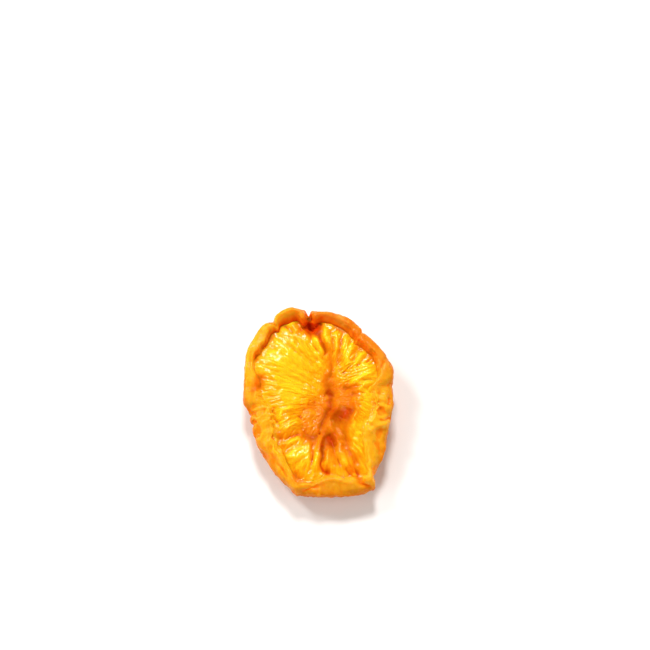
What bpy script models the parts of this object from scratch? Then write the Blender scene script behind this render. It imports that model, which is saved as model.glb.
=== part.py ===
"""A dried nectarine half, lying on its skin with the cut face up.

Metres, +Z up. The half rests on z = 0 and the origin is under the middle of its
outline. +Y points to the stem end, +X to the right of the cut face. The solid is
one sphere of rings and segments: the rings run from the middle of the cut face,
out over the flesh, up and over the rolled rim, and down the skin to the base.
Shapes are worked out in millimetres and scaled to the driving sizes at the end.
"""

import cmath
import functools
import math

import bmesh
import bpy
from mathutils import Vector, noise

# Driving sizes, in metres
LENGTH = 0.062
WIDTH = 0.048
HEIGHT = 0.0145

# The mesh
SEGMENTS = 96
RINGS = 60

# The finish: a sun-dried orange, with a dull wet shine
COLOUR = (0.86, 0.32, 0.03, 1.0)
ROUGHNESS = 0.42

# Plan of the half, in millimetres, at every 10 degrees anticlockwise from +X
OUTLINE = (
    24.0, 24.1, 25.8, 26.0, 26.1, 26.1, 27.2, 28.5, 29.2, 29.3, 30.3, 31.9,
    31.0, 30.2, 28.9, 27.3, 25.4, 24.6, 24.0, 22.9, 22.8, 23.7, 24.6, 25.5,
    27.5, 29.7, 31.4, 31.6, 32.2, 33.1, 33.3, 29.3, 26.9, 25.1, 24.4, 24.1,
)
# How far the roll or collar of skin reaches in from that outline, at every 20 degrees
RIM_WIDTH = (
    6.4, 5.6, 4.2, 4.2, 3.6, 3.6, 3.1, 4.2, 4.4,
    5.4, 7.4, 6.8, 6.2, 4.0, 6.6, 4.4, 8.0, 6.2,
)
# Height of the rim's crest, and of the widest part of the skin below it, at every 30
CREST = (12.4, 13.3, 13.7, 13.9, 13.4, 12.2, 11.4, 10.9, 10.3, 9.6, 10.1, 11.5)
WIDEST = (8.8, 10.0, 10.6, 11.0, 10.3, 8.9, 7.9, 6.9, 5.9, 5.6, 6.0, 7.4)
# How deep the flesh lies below the crest where it meets the rim, at every 20: deep under
# the rolls, slight where it runs out onto a collar
STEP_DOWN = (
    1.6, 2.0, 2.5, 2.7, 2.9, 3.3, 3.0, 2.3, 1.8,
    1.4, 1.3, 1.4, 1.9, 2.1, 1.6, 2.0, 0.5, 0.9,
)

# Marks in the outline: angle in degrees, half width in degrees, millimetres out
CLEFT = (96.6, 2.6, -2.4)
LEFT_LOBE = (106.0, 5.0, 0.5)
LOBE_NICK = (119.8, 2.4, -0.9)
TIP = (302.0, 3.0, 1.4)
HEEL = (256.0, 4.0, 0.6)
LEFT_NICK = (197.0, 4.0, -0.5)
OUTLINE_MARKS = (CLEFT, LEFT_LOBE, LOBE_NICK, TIP, HEEL, LEFT_NICK)
CLEFT_DROP = 2.4  # how far the crest dips in the cleft

# Tucks across the roll: angle and half width in degrees, millimetres deep
TUCKS = (
    (31.0, 3.0, 0.8), (57.5, 2.4, 0.5), (119.5, 2.6, 0.8), (136.0, 3.0, 0.3),
    (151.0, 3.4, 0.9), (188.0, 3.4, 0.5), (212.0, 3.0, 0.4), (252.0, 3.0, 0.5),
    (305.0, 2.4, 0.8), (346.5, 3.0, 0.6),
)

# Where a wall slopes down from the roll to the flesh, as such marks
CUPS = ((109.0, 8.0, 1.2), (60.0, 22.0, 0.4))

# The cut face
MIDDLE = 6.8  # height of the flesh where the stone's scar is
PILLOW = 1.0  # how much the flesh swells between scar and rim

# The line that the fibres run out from: its upper and lower end, in plan
SPINE = (complex(1.2, 16.0), complex(3.0, -8.0))

# Ridges and creases of the flesh: half width, height, then the way they take
FOLDS = (
    # in from the cleft
    (2.05, -2.89, (-3.2, 28.0), (-2.4, 26.0), (-1.2, 24.2)),
    (1.55, -1.36, (-1.4, 25.5), (0.6, 23.2), (1.5, 20.6), (1.8, 17.8), (1.7, 15.2)),
    (1.55, 0.68, (-4.6, 22.5), (-2.9, 19.6), (-1.6, 16.8), (0.0, 13.8), (1.0, 11.0)),
    (1.45, 0.59, (2.0, 25.0), (2.4, 22.0), (3.4, 19.2), (4.3, 16.6)),
    # right of the scar
    (1.45, -0.85, (7.6, 22.4), (7.2, 18.4), (6.4, 15.0), (5.9, 12.4)),
    (1.55, 0.59, (11.0, 20.0), (10.6, 17.4), (9.4, 14.6), (8.6, 11.6)),
    (1.45, -0.85, (12.6, 17.0), (11.4, 14.5), (10.0, 12.0), (8.6, 10.0), (7.6, 8.6)),
    (1.45, 0.94, (17.4, 9.8), (14.6, 8.8), (12.4, 7.4), (10.4, 5.9)),
    (1.45, -0.94, (15.5, 7.6), (12.5, 5.8), (9.8, 4.8), (7.9, 4.5)),
    (1.45, 0.68, (11.8, 1.8), (11.4, 0.0), (12.2, -2.2), (11.8, -3.8), (9.4, -6.8)),
    # the scar
    (1.45, -0.94, (4.2, 17.0), (4.1, 14.4), (4.6, 12.2), (4.2, 10.0), (3.5, 7.9)),
    (1.55, 0.68, (1.6, 13.0), (2.2, 10.4), (2.9, 7.8), (3.4, 6.0), (4.3, 4.0)),
    (1.45, -0.85, (2.4, 6.8), (2.3, 4.6), (2.8, 3.2), (4.6, 2.6), (6.6, 1.4)),
    (1.55, -1.7, (4.0, 0.4), (4.3, -1.2), (3.0, -2.8), (2.1, -5.0), (1.8, -8.0)),
    (1.75, 1.7, (6.9, 0.6), (5.2, -1.8), (3.9, -3.8), (3.7, -6.4), (4.8, -9.2), (6.2, -12.0),
     (6.6, -15.4), (7.2, -18.0)),
    (2.15, -1.7, (9.9, -0.2), (9.0, -2.0), (8.1, -3.8), (7.6, -5.2)),
    (1.95, 0.85, (-0.4, -3.2), (-2.6, -4.2), (-3.8, -6.4), (-3.0, -8.6)),
    (1.55, -0.59, (-1.0, 0.4), (-4.0, -0.6), (-5.4, -3.2), (-5.6, -6.4), (-4.6, -9.6)),
    # the lower end, split by a deep cleft
    (1.95, -2.38, (2.6, -9.4), (3.8, -11.4), (4.7, -13.8), (5.0, -15.6)),
    (1.65, -1.7, (2.5, -12.6), (1.5, -15.8), (0.7, -19.0), (1.2, -21.2), (2.8, -23.0)),
    (1.45, 0.85, (0.2, -11.0), (0.0, -14.0), (-0.8, -18.0), (-1.6, -21.0)),
    (1.45, 0.94, (5.6, -16.6), (7.2, -18.9), (9.0, -20.6), (10.6, -23.4), (12.6, -26.2)),
    (1.45, -1.02, (9.4, -16.0), (11.0, -19.4), (12.4, -22.4), (13.2, -25.0), (14.8, -27.4)),
    (1.65, -0.77, (-13.4, -12.0), (-11.0, -11.6), (-8.0, -10.6), (-5.0, -10.6)),
    # broad swellings
    (6.0, 0.9, (-13.0, 11.0), (-8.0, 17.0)),
    (2.4, 0.8, (-10.0, -13.4), (-6.0, -12.4)),
    (2.8, 0.8, (-9.0, -18.8), (-6.0, -20.4)),
)

# Ridges and creases of the skin on the rim and collars, seen from above
SKIN_FOLDS = (
    (1.7, -0.6, (17.6, -3.6), (19.5, -5.0), (21.5, -5.2), (24.0, -4.6)),
    (1.7, 0.7, (14.4, -9.5), (16.4, -7.8), (19.0, -6.9), (22.0, -6.4), (24.0, -6.4)),
    (1.55, -0.68, (19.0, -13.0), (18.8, -15.5), (19.2, -17.0)),
    (1.55, -1.02, (12.8, -24.6), (13.8, -26.2), (15.2, -27.3), (16.8, -27.3)),
    (1.55, -0.68, (-17.0, -12.0), (-15.2, -15.5), (-12.6, -19.5), (-10.6, -22.5), (-9.8, -25.0)),
    (1.55, 0.77, (-4.0, -30.6), (0.0, -29.0), (4.0, -28.2), (8.0, -28.8), (13.0, -30.0)),
    (1.6, -1.4, (-3.8, 31.0), (-3.3, 28.6), (-2.6, 26.4)),
    (1.45, -1.02, (-16.5, 27.0), (-14.5, 25.9), (-12.8, 25.8)),
)

# How strongly the flesh is pleated at every 45 degrees from +X
PLEATS = (1.0, 1.0, 0.6, 0.5, 0.8, 0.8, 0.7, 1.0)

# Profile stations: the share of the rings that each stretch between them takes
STRETCHES = (11, 10, 8, 3, 3, 3, 4, 4, 3, 4, 4, 3)
FLESH_END = 3.5
RIM_END = 8.0


def catmull_rom(before, start, end, after, share):
    """The smooth curve through four values, between the second and third."""
    return 0.5 * (
        2 * start
        + (end - before) * share
        + (2 * before - 5 * start + 4 * end - after) * share**2
        + (3 * start - before - 3 * end + after) * share**3
    )


def around(values, angle):
    """A value at this angle, from values spaced evenly round the half."""
    place = (angle / math.tau) % 1.0 * len(values)
    first = int(place)
    near = [values[(first + step) % len(values)] for step in (-1, 0, 1, 2)]
    return catmull_rom(*near, place - first)


def along(values, place):
    """A value at this place, from 0 to the last, of a list that ends level."""
    first = min(int(place), len(values) - 2)
    padded = (values[0], *values, values[-1])
    return catmull_rom(*padded[first : first + 4], place - first)


def hump(distance, half_width):
    """1 at no distance, falling smoothly to almost 0 at two half widths."""
    return math.exp(-((distance / half_width) ** 2))


def degrees_apart(angle, degrees):
    """How far an angle in radians is from one in degrees, in degrees."""
    return (math.degrees(angle) - degrees + 180.0) % 360.0 - 180.0


def marks_at(marks, angle):
    """What a list of marks, each angle, half width and size, adds here."""
    return sum(size * hump(degrees_apart(angle, at), wide) for at, wide, size in marks)


def clamp(value, low=0.0, high=1.0):
    return max(low, min(high, value))


def smooth(low, high, value):
    share = clamp((value - low) / (high - low))
    return share * share * (3 - 2 * share)


@functools.lru_cache(maxsize=None)
def profile_at(angle):
    """The stations of the section at this angle: distances out, and heights."""
    in_cleft = hump(degrees_apart(angle, CLEFT[0]), CLEFT[1] * 1.4)
    tuck = marks_at(TUCKS, angle)
    cup = marks_at(CUPS, angle)
    plain_width = around(RIM_WIDTH, angle)
    plain_inner = around(OUTLINE, angle) - plain_width
    plain_crest = around(CREST, angle)
    step = around(STEP_DOWN, angle)
    outer = plain_inner + plain_width + marks_at(OUTLINE_MARKS, angle) - 0.35 * tuck
    width = plain_width - 0.2 * tuck
    crest = plain_crest - CLEFT_DROP * in_cleft - 0.7 * tuck
    widest = around(WIDEST, angle) - 0.6 * CLEFT_DROP * in_cleft
    flesh = plain_crest - step - 0.8 * CLEFT_DROP * in_cleft
    swell = plain_crest - step + PILLOW
    inner = outer - width
    thick = min(width, 4.2)  # of the curl itself; the rest is a sloping collar
    collar = width - thick
    curl = smooth(1.2, 3.0, step)  # whether the rim curls over the flesh or runs into it
    distances = (
        0.0,
        0.36 * plain_inner,
        0.72 * plain_inner,
        inner - 0.9 - cup,
        inner + (0.28 * curl - 0.08) * thick - cup,
        inner + (0.12 - 0.1 * curl) * thick,
        inner + 0.42 * thick,
        inner + 0.84 * thick + 0.7 * collar,
        outer,
        0.93 * outer,
        0.74 * outer,
        0.47 * outer,
        0.0,
    )
    heights = (
        MIDDLE,
        0.5 * (MIDDLE + swell),
        swell,
        flesh + 0.2,
        flesh - 0.25 * curl,
        crest - min(0.42 * thick, 0.55 * step),
        crest,
        crest - 0.18 * thick - 0.25 * collar,
        widest,
        0.5 * widest,
        0.13 * widest,
        -0.25,
        -0.45,
    )
    return distances, heights


def station_at(share):
    """Where a ring lies between stations, from its share of the way down."""
    left = share * sum(STRETCHES)
    for index, stretch in enumerate(STRETCHES):
        if left <= stretch:
            return index + left / stretch
        left -= stretch
    return float(len(STRETCHES))


def distance_to_way(point, way):
    """How far a point in plan is from a way, and how far along it that is."""
    best = (1e9, 0.0)
    for index, (start, end) in enumerate(zip(way, way[1:])):
        start, end = Vector(start), Vector(end)
        step = end - start
        share = clamp((point - start).dot(step) / step.length_squared)
        apart = (start + share * step - point).length
        if apart < best[0]:
            best = (apart, (index + share) / (len(way) - 1))
    return best


def folds_at(point, ways):
    """Height of a list of ridges and creases at a point in plan."""
    height = 0.0
    for half_width, rise, *way in ways:
        apart, share = distance_to_way(point, way)
        if apart < 3 * half_width:
            taper = smooth(0.0, 0.25, share) * smooth(1.0, 0.7, share)
            height += rise * taper * hump(apart, half_width)
    return height


def wandered(point):
    """The point in plan, moved a little by a slow noise, so that no line is drawn true."""
    x, y = point / 3.0
    return point + 0.5 * Vector((noise.noise((x, y, 1.7)), noise.noise((x, y, 8.3))))


def pleats_at(point, reach):
    """Height of the flesh's pleats, which run out from the spine.

    They are hyperbolas that share the spine's two ends as foci."""
    top, bottom = SPINE
    centre, half = (top + bottom) / 2, (top - bottom) / 2
    spread = cmath.acosh((complex(*point) - centre) / half)
    out, facing = abs(spread.real), math.copysign(1.0, spread.real) * spread.imag
    spot = Vector((math.cos(facing), math.sin(facing) * smooth(0.0, 0.3, out), 0.0))
    broad = noise.noise(5.0 * spot + Vector((0, 0, 0.8 * out)))
    narrow = noise.noise(13.0 * spot + Vector((7.0, 0, 2.4 * out)))
    fade = smooth(0.1, 0.6, out) * smooth(1.06, 0.9, reach)
    strength = around(PLEATS, math.atan2(point.y - 3.0, point.x - 2.5))
    return fade * strength * (0.9 * broad + 0.85 * (0.45 - 1.5 * abs(narrow)))


def skin_relief(point):
    """Wrinkles of the skin, which run lengthwise, with puckers between them."""
    long = noise.noise((point.x / 3.2, point.y / 11.0, point.z / 3.2))
    short = noise.noise((point.x / 1.9 + 9, point.y / 4.0, point.z / 1.9))
    broad = noise.noise((point.x / 8.0, point.y / 9.0, point.z / 8.0 + 5))
    return 0.75 * broad + 0.7 * abs(long) + 0.35 * abs(short) - 0.3


def shape_half(mesh):
    """Moves the rings of a sphere to the form of the half, in millimetres."""
    stations = {}
    for vertex in mesh.verts:
        angle = round(math.atan2(vertex.co.y, vertex.co.x), 5)
        place = station_at(math.acos(clamp(vertex.co.z, -1.0, 1.0)) / math.pi)
        distances, heights = profile_at(angle)
        distance = along(distances, place)
        height = along(heights, place)
        plan = Vector((math.cos(angle), math.sin(angle))) * distance
        if place < FLESH_END:
            relief = folds_at(wandered(plan), FOLDS) + pleats_at(plan, distance / distances[3])
            height += smooth(FLESH_END, FLESH_END - 0.7, place) * relief
        vertex.co = (plan.x, plan.y, height)
        stations[vertex] = place
    mesh.normal_update()
    for vertex in mesh.verts:
        place = stations[vertex]
        on_rim = smooth(3.6, 4.6, place) * smooth(RIM_END + 0.6, RIM_END - 1.0, place)
        on_skin = smooth(RIM_END - 1.5, RIM_END + 0.5, place) * smooth(12.0, 10.6, place)
        push = 0.55 * noise.noise(vertex.co / 3.4) * on_rim + skin_relief(vertex.co) * on_skin
        facing_up = smooth(0.0, 0.5, vertex.normal.z) * smooth(4.4, 5.4, place)
        push += facing_up * folds_at(wandered(vertex.co.xy), SKIN_FOLDS)
        vertex.co += vertex.normal * push


def settle(mesh):
    """Flattens the base where it rests, and scales the half to its real size."""
    for vertex in mesh.verts:
        vertex.co.z = max(vertex.co.z, 0.0)
    low = Vector(min(v.co[axis] for v in mesh.verts) for axis in range(3))
    high = Vector(max(v.co[axis] for v in mesh.verts) for axis in range(3))
    middle = (low + high) / 2
    size = high - low
    for vertex in mesh.verts:
        vertex.co = (
            (vertex.co.x - middle.x) * WIDTH / size.x,
            (vertex.co.y - middle.y) * LENGTH / size.y,
            (vertex.co.z - low.z) * HEIGHT / size.z,
        )


def dried_fruit_material():
    material = bpy.data.materials.new("dried_flesh_and_skin")
    material.use_nodes = True
    surface = material.node_tree.nodes["Principled BSDF"]
    surface.inputs["Base Color"].default_value = COLOUR
    surface.inputs["Roughness"].default_value = ROUGHNESS
    return material


def make_half(name, segments, rings):
    mesh = bmesh.new()
    bmesh.ops.create_uvsphere(mesh, u_segments=segments, v_segments=rings, radius=1.0)
    shape_half(mesh)
    settle(mesh)
    bmesh.ops.recalc_face_normals(mesh, faces=mesh.faces)
    data = bpy.data.meshes.new(name)
    mesh.to_mesh(data)
    mesh.free()
    data.shade_smooth()
    data.materials.append(dried_fruit_material())
    return bpy.data.objects.new(name, data)


def main():
    for item in list(bpy.data.objects):
        bpy.data.objects.remove(item)
    fruit = bpy.data.collections.new("dried_nectarine")
    bpy.context.scene.collection.children.link(fruit)
    fruit.objects.link(make_half("nectarine_half", SEGMENTS, RINGS))


main()
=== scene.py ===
"""The looks of the dried nectarine half, laid out as a Blender add-on and run as a script.

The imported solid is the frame. One finely shaped piece stands for it: a half fruit that lies
on its skin with the cut face up, its rim rolled in by drying, its flesh pleated round the
scar that the stone left. +Y points to the stem end. Shapes are worked out in millimetres in
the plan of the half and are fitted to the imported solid's box at the end.
"""

import cmath
import functools
import math

import bmesh
import bpy
import numpy as np
from bpy.props import FloatProperty, FloatVectorProperty, IntProperty, PointerProperty
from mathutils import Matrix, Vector, noise


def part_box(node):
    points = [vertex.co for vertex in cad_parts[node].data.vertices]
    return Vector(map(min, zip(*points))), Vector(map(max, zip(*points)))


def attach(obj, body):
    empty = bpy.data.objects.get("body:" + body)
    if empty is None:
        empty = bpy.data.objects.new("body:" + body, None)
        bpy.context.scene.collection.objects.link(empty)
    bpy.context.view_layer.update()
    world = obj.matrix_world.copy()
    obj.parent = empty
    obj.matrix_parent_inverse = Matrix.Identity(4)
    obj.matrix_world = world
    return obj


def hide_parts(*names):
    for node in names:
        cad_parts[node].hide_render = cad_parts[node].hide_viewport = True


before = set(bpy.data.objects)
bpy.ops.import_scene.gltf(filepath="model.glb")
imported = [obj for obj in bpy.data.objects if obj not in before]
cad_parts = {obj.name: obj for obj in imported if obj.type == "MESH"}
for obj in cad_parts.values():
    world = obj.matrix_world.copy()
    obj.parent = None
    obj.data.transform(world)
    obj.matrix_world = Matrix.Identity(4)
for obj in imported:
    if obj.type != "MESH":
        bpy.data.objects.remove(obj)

bl_info = {
    "name": "Dried Nectarine Half",
    "version": (1, 0, 0),
    "blender": (4, 5, 0),
    "location": "View3D > Sidebar > Nectarine",
    "description": "Shapes and finishes a dried nectarine half over its packed solid",
    "category": "Add Mesh",
}

CAD_NODE = "nectarine_half"
MM = 0.001
LOW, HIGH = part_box(CAD_NODE)
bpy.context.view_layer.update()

# Plan of the half, in millimetres, at every 10 degrees anticlockwise from +X
OUTLINE = (
    24.0, 24.1, 25.8, 26.0, 26.1, 26.1, 27.2, 28.5, 29.2, 29.3, 30.3, 31.9,
    31.0, 30.2, 28.9, 27.3, 25.4, 24.6, 24.0, 22.9, 22.8, 23.7, 24.6, 25.5,
    27.5, 29.7, 31.4, 31.6, 32.2, 33.1, 33.3, 29.3, 26.9, 25.1, 24.4, 24.1,
)
# How far the roll or collar of skin reaches in from that outline
RIM_WIDTH = (
    7.0, 7.0, 6.0, 4.2, 3.6, 3.8, 4.0, 3.4, 3.1, 3.0, 3.3, 3.2,
    3.1, 4.2, 4.2, 2.7, 4.4, 5.4, 5.6, 6.8, 7.4, 6.9, 6.4, 5.6,
    5.2, 4.2, 4.0, 5.2, 6.6, 5.6, 4.4, 6.2, 8.0, 7.8, 6.6, 6.6,
)
# Height of the rim's crest, and of the widest part of the skin below it
CREST = (
    12.4, 12.7, 13.0, 13.3, 13.5, 13.6, 13.7, 13.8, 13.8, 13.9, 14.0, 13.8,
    13.4, 13.0, 12.6, 12.2, 11.8, 11.5, 11.4, 11.2, 11.1, 10.9, 10.8, 10.6,
    10.3, 9.9, 9.7, 9.6, 9.6, 9.8, 10.1, 10.5, 11.0, 11.5, 11.9, 12.2,
)
WIDEST = (
    8.8, 9.2, 9.6, 10.0, 10.3, 10.5, 10.6, 10.8, 10.9, 11.0, 11.0, 10.8,
    10.3, 9.8, 9.3, 8.9, 8.5, 8.1, 7.9, 7.6, 7.3, 6.9, 6.6, 6.2,
    5.9, 5.7, 5.6, 5.6, 5.6, 5.7, 6.0, 6.4, 6.9, 7.4, 7.9, 8.4,
)
# What share of the roll's thickness its inner wall takes up, seen from above
LEAN = (
    0.35, 0.32, 0.28, 0.24, 0.22, 0.22, 0.26, 0.38, 0.48, 0.5, 0.5, 0.5,
    0.4, 0.22, 0.2, 0.22, 0.34, 0.42, 0.42, 0.42, 0.42, 0.42, 0.42, 0.42,
    0.42, 0.42, 0.42, 0.42, 0.42, 0.42, 0.42, 0.42, 0.42, 0.42, 0.42, 0.38,
)
# How deep the flesh lies below the crest where it meets the rim: deep under the rolls,
# slight where it runs out onto a collar
STEP_DOWN = (
    1.6, 1.8, 2.0, 2.2, 2.2, 2.2, 2.3, 2.4, 2.5, 2.7, 3.2, 3.2,
    3.0, 2.6, 2.2, 1.8, 1.4, 1.4, 1.4, 1.2, 1.3, 1.3, 1.4, 1.7,
    1.9, 2.1, 2.1, 1.8, 1.6, 1.9, 2.0, 0.9, 0.5, 0.5, 0.9, 1.4,
)

# Marks in the outline: angle in degrees, half width in degrees, millimetres out
CLEFT = (96.6, 1.3, -1.5)
OUTLINE_MARKS = (
    CLEFT,
    (106.0, 5.0, 0.5),
    (119.8, 1.6, -0.9),
    (302.0, 2.6, 1.3),
    (304.6, 1.2, -0.9),
    (256.0, 4.0, 0.6),
    (197.0, 2.0, 0.3),
    (193.0, 1.4, -0.6),
    (201.5, 1.5, -0.5),
    (57.0, 1.2, -0.5),
    (11.0, 2.6, -0.3),
)
CLEFT_DROP = 2.0  # how far the crest dips in the cleft

# Marks in the roll's width, where its ends curl in at the cleft
WIDTH_MARKS = ((100.6, 2.2, 1.3), (92.6, 2.4, 0.9), (96.6, 1.2, -1.2))

# Where the roll's wall slopes further out over the flesh: angle and half width in degrees,
# millimetres
CUPS = ((109.0, 8.0, 0.9), (127.0, 9.0, 0.3), (60.0, 22.0, 0.3))

# Tucks across the roll: angle and half width in degrees, millimetres deep
TUCKS = (
    (31.0, 3.0, 0.7), (57.5, 2.2, 0.25), (80.0, 3.0, 0.2), (119.5, 2.4, 0.8),
    (136.0, 3.0, 0.3), (151.0, 3.4, 0.9), (170.0, 3.0, 0.4), (188.0, 3.4, 0.5),
    (212.0, 3.0, 0.4), (252.0, 3.0, 0.5), (305.0, 2.0, 0.8), (346.5, 2.6, 0.6),
)

# The cut face
MIDDLE = 6.8  # height of the flesh where the stone's scar is
PILLOW = 1.0  # how much the flesh swells between scar and rim

# Folds and colours are placed as a view from 68 degrees up shows them: it shortens the
# plan, and raises what lies above a level
VIEW_SHORTENS = 0.974
VIEW_RAISES = 0.396
VIEW_LEVEL = 6.15

# The line that the fibres run out from: its upper and lower end, in plan
SPINE = (complex(5.0, 10.5), complex(2.6, -5.5))

# Ridges and creases of the flesh: half width, height, then the way they take
FOLDS = (
    # the cavity in the cleft, and the narrow strip of flesh that runs in from it
    (1.6, -1.6, (-5.4, 26.8), (-3.0, 25.2), (-1.4, 24.6)),
    (1.0, -1.0, (-1.4, 25.0), (-0.8, 26.8), (0.6, 28.2)),
    (0.8, 0.9, (-1.6, 22.2), (-0.2, 20.2), (0.6, 18.0), (1.2, 15.8)),
    (0.6, -0.8, (-1.0, 23.8), (0.6, 21.8), (1.7, 19.4), (2.0, 17.0), (1.8, 15.2)),
    (0.6, -0.5, (-3.0, 23.4), (-2.3, 21.0), (-1.0, 18.2), (0.4, 16.0)),
    # the flap beside it, and the swelling's edge
    (1.0, 0.9, (-10.0, 27.2), (-8.6, 26.2), (-7.4, 24.8), (-6.4, 23.6)),
    (0.6, -0.7, (-11.6, 26.2), (-9.6, 25.0), (-8.0, 23.4)),
    (0.6, -0.5, (-8.0, 27.2), (-6.4, 25.6), (-5.2, 23.9)),
    (0.9, 0.5, (-4.6, 23.2), (-2.9, 20.3), (-1.6, 17.5), (0.0, 14.5), (1.0, 11.0)),
    # right of the strip
    (0.8, 0.6, (2.0, 25.7), (2.4, 22.7), (3.4, 19.9), (4.3, 17.3)),
    (0.6, -0.5, (3.8, 25.2), (4.2, 22.1), (5.0, 19.1), (4.6, 16.3)),
    (0.8, 0.5, (6.2, 23.7), (5.9, 19.7), (5.5, 16.2), (5.4, 13.0)),
    (1.0, -0.7, (7.6, 23.1), (7.2, 19.1), (6.4, 15.7), (5.9, 12.7)),
    (0.9, 0.5, (8.8, 22.2), (8.3, 18.7), (8.7, 16.1)),
    (1.0, 0.6, (11.0, 20.7), (10.6, 18.1), (9.4, 15.3), (8.6, 11.7)),
    (0.9, -0.5, (13.6, 18.4), (11.8, 15.8), (10.8, 13.4)),
    (0.7, 0.6, (14.2, 17.1), (12.4, 14.2), (11.2, 11.0)),
    (0.6, 1.0, (17.4, 10.2), (14.6, 8.9), (12.4, 7.6), (10.4, 6.1)),
    (0.8, -0.6, (14.4, 6.2), (11.5, 5.3), (9.0, 4.9), (7.4, 5.3)),
    (0.6, 0.6, (15.0, 6.6), (13.4, 5.4), (12.2, 4.2)),
    (0.6, -0.5, (15.2, 3.6), (12.4, 3.4), (10.0, 3.6)),
    (0.6, 0.7, (11.7, 2.2), (11.5, 0.6), (12.2, -1.6), (11.8, -3.8), (10.4, -5.8)),
    # the scar: the crease that comes down to its star, the star's arms, and the hollow
    (0.5, -0.3, (4.2, 15.4), (4.7, 13.2), (4.2, 10.6), (3.6, 8.4), (2.6, 6.4), (2.2, 4.6)),
    (1.1, 0.2, (1.6, 11.0), (1.2, 8.0), (0.6, 5.9), (0.2, 4.0)),
    (0.7, -0.5, (1.3, 1.6), (2.5, 3.0), (4.4, 2.4), (6.8, 1.4)),
    (0.7, -0.8, (4.0, 2.0), (4.3, 0.2), (4.1, -1.6), (2.9, -3.4), (2.1, -4.8), (1.2, -6.6),
     (0.6, -9.4)),
    (1.3, -0.6, (-0.4, 0.6), (-2.0, 0.0), (-3.8, 0.4)),
    (1.4, 1.2, (6.2, 0.4), (5.4, -2.0), (4.2, -4.0), (3.4, -6.0), (3.8, -8.4), (5.2, -11.0),
     (6.4, -14.0), (7.2, -17.0), (8.2, -19.0)),
    (1.9, -0.9, (9.6, -1.2), (8.6, -3.2), (7.4, -5.2)),
    (1.8, 0.7, (-1.6, -2.4), (-2.8, -4.5), (-3.0, -7.0), (-2.4, -8.6)),
    (1.0, -0.5, (-4.2, -1.0), (-5.4, -3.8), (-5.4, -7.0), (-4.6, -9.6)),
    (1.0, -0.5, (-5.0, -10.0), (-2.4, -10.9), (0.0, -10.9)),
    (0.5, -1.0, (0.0, -10.2), (0.9, -10.0)),
    # the lower end, split by a cleft with a tongue in it
    (1.2, -1.2, (2.7, -10.2), (3.7, -11.8), (4.6, -13.4), (5.3, -15.0)),
    (0.7, -0.4, (2.2, -11.4), (1.8, -14.0), (1.4, -17.0)),
    (0.8, -0.9, (1.4, -16.6), (0.9, -20.4), (1.6, -22.4), (3.2, -22.9)),
    (1.1, -0.6, (2.4, -22.7), (3.8, -22.9)),
    (0.6, -0.7, (5.2, -14.6), (5.6, -17.0), (6.4, -19.4), (7.0, -21.0)),
    (0.9, 0.9, (3.2, -15.0), (2.8, -17.6), (2.8, -20.6)),
    (0.9, 0.9, (0.7, -11.6), (0.4, -14.0), (-0.4, -18.0), (-0.8, -21.0)),
    (0.6, -0.5, (-2.0, -13.1), (-1.9, -16.5), (-2.2, -20.0)),
    (0.6, 0.5, (-3.0, -13.1), (-3.2, -17.0), (-3.8, -20.0)),
    (0.8, 1.0, (7.6, -18.4), (9.0, -20.6), (10.8, -23.0), (12.6, -25.6)),
    (0.7, -0.8, (8.4, -20.8), (9.4, -22.6), (10.6, -24.6), (11.6, -26.0)),
    (0.8, -0.9, (11.4, -21.2), (12.6, -23.8), (13.5, -25.8), (14.8, -26.9)),
    (1.8, -0.7, (8.2, -10.6), (9.4, -14.6), (10.8, -18.0), (12.0, -21.0)),
    (0.5, 0.6, (11.0, -11.6), (12.6, -12.8), (14.4, -14.6)),
    (0.5, 0.6, (10.4, -12.8), (12.2, -14.6), (13.8, -16.8)),
    (0.5, 0.5, (10.4, -14.6), (11.4, -15.8), (12.6, -16.6)),
    (0.5, 0.5, (12.4, -9.6), (14.0, -11.0), (15.4, -12.6)),
    # the left side, with a pillow of flesh below a valley
    (0.6, 0.6, (-12.6, -4.8), (-11.4, -2.4), (-8.6, -1.9)),
    (0.6, 0.6, (-10.6, -8.8), (-8.6, -7.5), (-6.4, -7.0)),
    (0.6, -0.6, (-14.6, -4.8), (-12.8, -6.8), (-12.2, -8.2)),
    (0.6, -0.5, (-9.0, -3.8), (-6.4, -4.3), (-4.8, -5.5)),
    (1.2, -0.7, (-13.6, -12.1), (-10.6, -11.5), (-8.0, -11.0), (-5.6, -10.4)),
    (0.6, 0.5, (-11.8, -13.7), (-9.4, -13.3)),
    (0.9, 0.8, (-9.0, -13.3), (-7.4, -12.2), (-5.8, -11.6)),
    (0.8, 0.6, (-10.4, -17.9), (-8.6, -18.2), (-6.8, -18.0)),
    (1.7, -0.9, (-8.4, -23.2), (-6.8, -25.0), (-5.0, -26.0)),
    (0.6, 0.7, (-8.2, -28.0), (-6.4, -27.3), (-4.2, -27.5)),
    # broad swellings
    (6.0, 0.9, (-13.0, 11.4), (-8.0, 17.7)),
    (3.6, 0.8, (-8.0, -15.6), (-6.0, -19.0)),
)

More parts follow.
